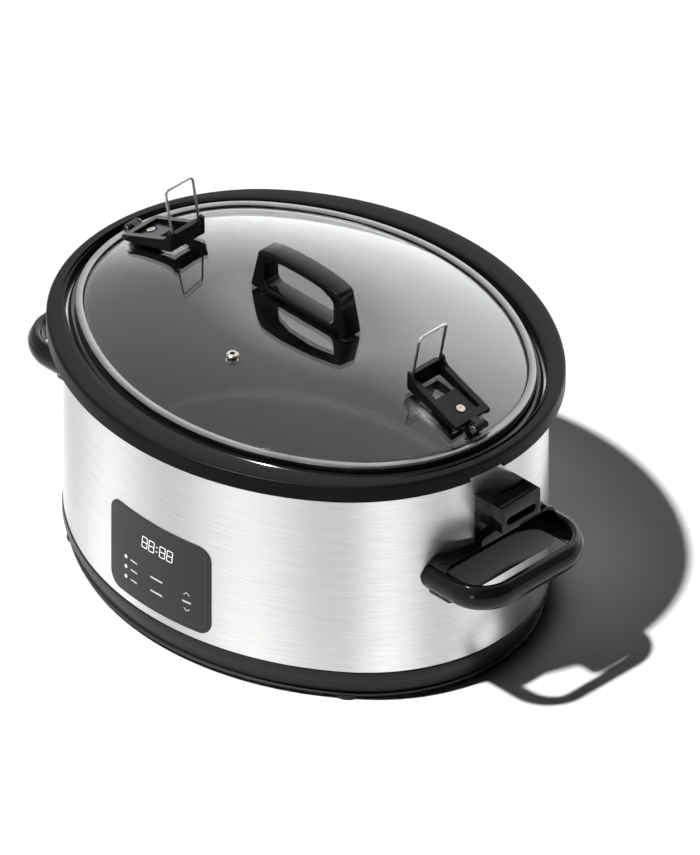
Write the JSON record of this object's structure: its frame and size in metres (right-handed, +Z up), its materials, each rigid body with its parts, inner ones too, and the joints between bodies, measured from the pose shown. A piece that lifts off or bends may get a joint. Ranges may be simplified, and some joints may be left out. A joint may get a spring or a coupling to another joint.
{
  "type": "slow cooker",
  "caption": "Oval slow cooker: brushed steel wall, lift-out crock, domed glass lid held by swing-over wire latches, side handles and a touch panel.",
  "frame": {"origin": "centre of the footprint on the surface the feet stand on", "axes": "+X along the long axis through the side handles, -Y is the front with the control panel, +Z up"},
  "size_m": [0.432, 0.306, 0.2417],
  "materials": {
    "outer_wrap": "brushed round the wall",
    "top_collar": "satin",
    "base_pan": "satin",
    "bottom_cover": "fine texture",
    "rubber_feet": "matte",
    "cover_screws": "plated",
    "heating_well": "spun",
    "heater_band": "woven mica band",
    "heat_shield": "mill finish",
    "tie_bolt": "plated",
    "tie_nut": "plated",
    "temperature_sensor": "machined",
    "thermal_fuse": "glazed",
    "control_panel": "satin film",
    "control_carrier": "moulded",
    "control_board": "solder mask",
    "display_module": "smooth",
    "indicator_leds": "clear",
    "power_board": "solder mask",
    "power_relay": "moulded",
    "board_screws": "plated",
    "cord_bushing": "matte",
    "side_handle_left": "polished",
    "side_handle_right": "polished",
    "catch_block_left": "polished",
    "catch_block_right": "polished",
    "handle_screws": "plated",
    "crock": "black glaze",
    "lid_glass": "clear tempered",
    "lid_ring": "polished",
    "lid_gasket": "soft",
    "lid_handle": "polished",
    "lid_handle_screws": "plated",
    "lid_handle_washers": "soft",
    "vent_grommet": "polished",
    "latch_base_left": "satin",
    "latch_base_right": "satin",
    "latch_pads": "soft",
    "latch_screws": "polished",
    "latch_nuts": "plated",
    "hinge_pin_left": "polished",
    "hinge_pin_right": "polished",
    "latch_lever_left": "satin gloss",
    "latch_lever_right": "satin gloss",
    "latch_bail_left": "polished wire",
    "latch_bail_right": "polished wire"
  },
  "bodies": {
    "housing": {"outer_wrap": "outer_wrap", "top_collar": "top_collar", "base_pan": "base_pan", "bottom_cover": "bottom_cover", "rubber_feet": "rubber_feet", "cover_screws": "cover_screws", "heating_well": "heating_well", "heater_band": "heater_band", "heat_shield": "heat_shield", "tie_bolt": "tie_bolt", "tie_nut": "tie_nut", "temperature_sensor": "temperature_sensor", "thermal_fuse": "thermal_fuse", "control_panel": "control_panel", "control_carrier": "control_carrier", "control_board": "control_board", "display_module": "display_module", "indicator_leds": "indicator_leds", "power_board": "power_board", "power_relay": "power_relay", "board_screws": "board_screws", "cord_bushing": "cord_bushing", "side_handle_left": "side_handle_left", "side_handle_right": "side_handle_right", "catch_block_left": "catch_block_left", "catch_block_right": "catch_block_right", "handle_screws": "handle_screws"},
    "crock": {"crock": "crock"},
    "lid": {"lid_glass": "lid_glass", "lid_ring": "lid_ring", "lid_gasket": "lid_gasket", "lid_handle": "lid_handle", "lid_handle_screws": "lid_handle_screws", "lid_handle_washers": "lid_handle_washers", "vent_grommet": "vent_grommet", "latch_base_left": "latch_base_left", "latch_base_right": "latch_base_right", "latch_pads": "latch_pads", "latch_screws": "latch_screws", "latch_nuts": "latch_nuts", "hinge_pin_left": "hinge_pin_left", "hinge_pin_right": "hinge_pin_right"},
    "lever_left": {"latch_lever_left": "latch_lever_left"},
    "lever_right": {"latch_lever_right": "latch_lever_right"},
    "bail_left": {"latch_bail_left": "latch_bail_left"},
    "bail_right": {"latch_bail_right": "latch_bail_right"}
  },
  "joints": [
    {"name": "crock_lift", "type": "slide", "parent": "housing", "child": "crock", "axis": [0, 0, 1], "range_m": [0, 0.15]},
    {"name": "lid_lift", "type": "slide", "parent": "crock", "child": "lid", "axis": [0, 0, 1], "range_m": [0, 0.12]},
    {"name": "lever_left_swing", "type": "hinge", "parent": "lid", "child": "lever_left", "pos_m": [-0.1582, 0, 0.1869], "axis": [0, -1, 0], "range_deg": [0, 178]},
    {"name": "lever_right_swing", "type": "hinge", "parent": "lid", "child": "lever_right", "pos_m": [0.1582, 0, 0.1869], "axis": [0, 1, 0], "range_deg": [0, 178]},
    {"name": "bail_left_swing", "type": "hinge", "parent": "lever_left", "child": "bail_left", "pos_m": [-0.1095, 0, 0.207], "axis": [0, -1, 0], "range_deg": [-80, 9.5]},
    {"name": "bail_right_swing", "type": "hinge", "parent": "lever_right", "child": "bail_right", "pos_m": [0.1095, 0, 0.207], "axis": [0, 1, 0], "range_deg": [-80, 9.5]}
  ]
}
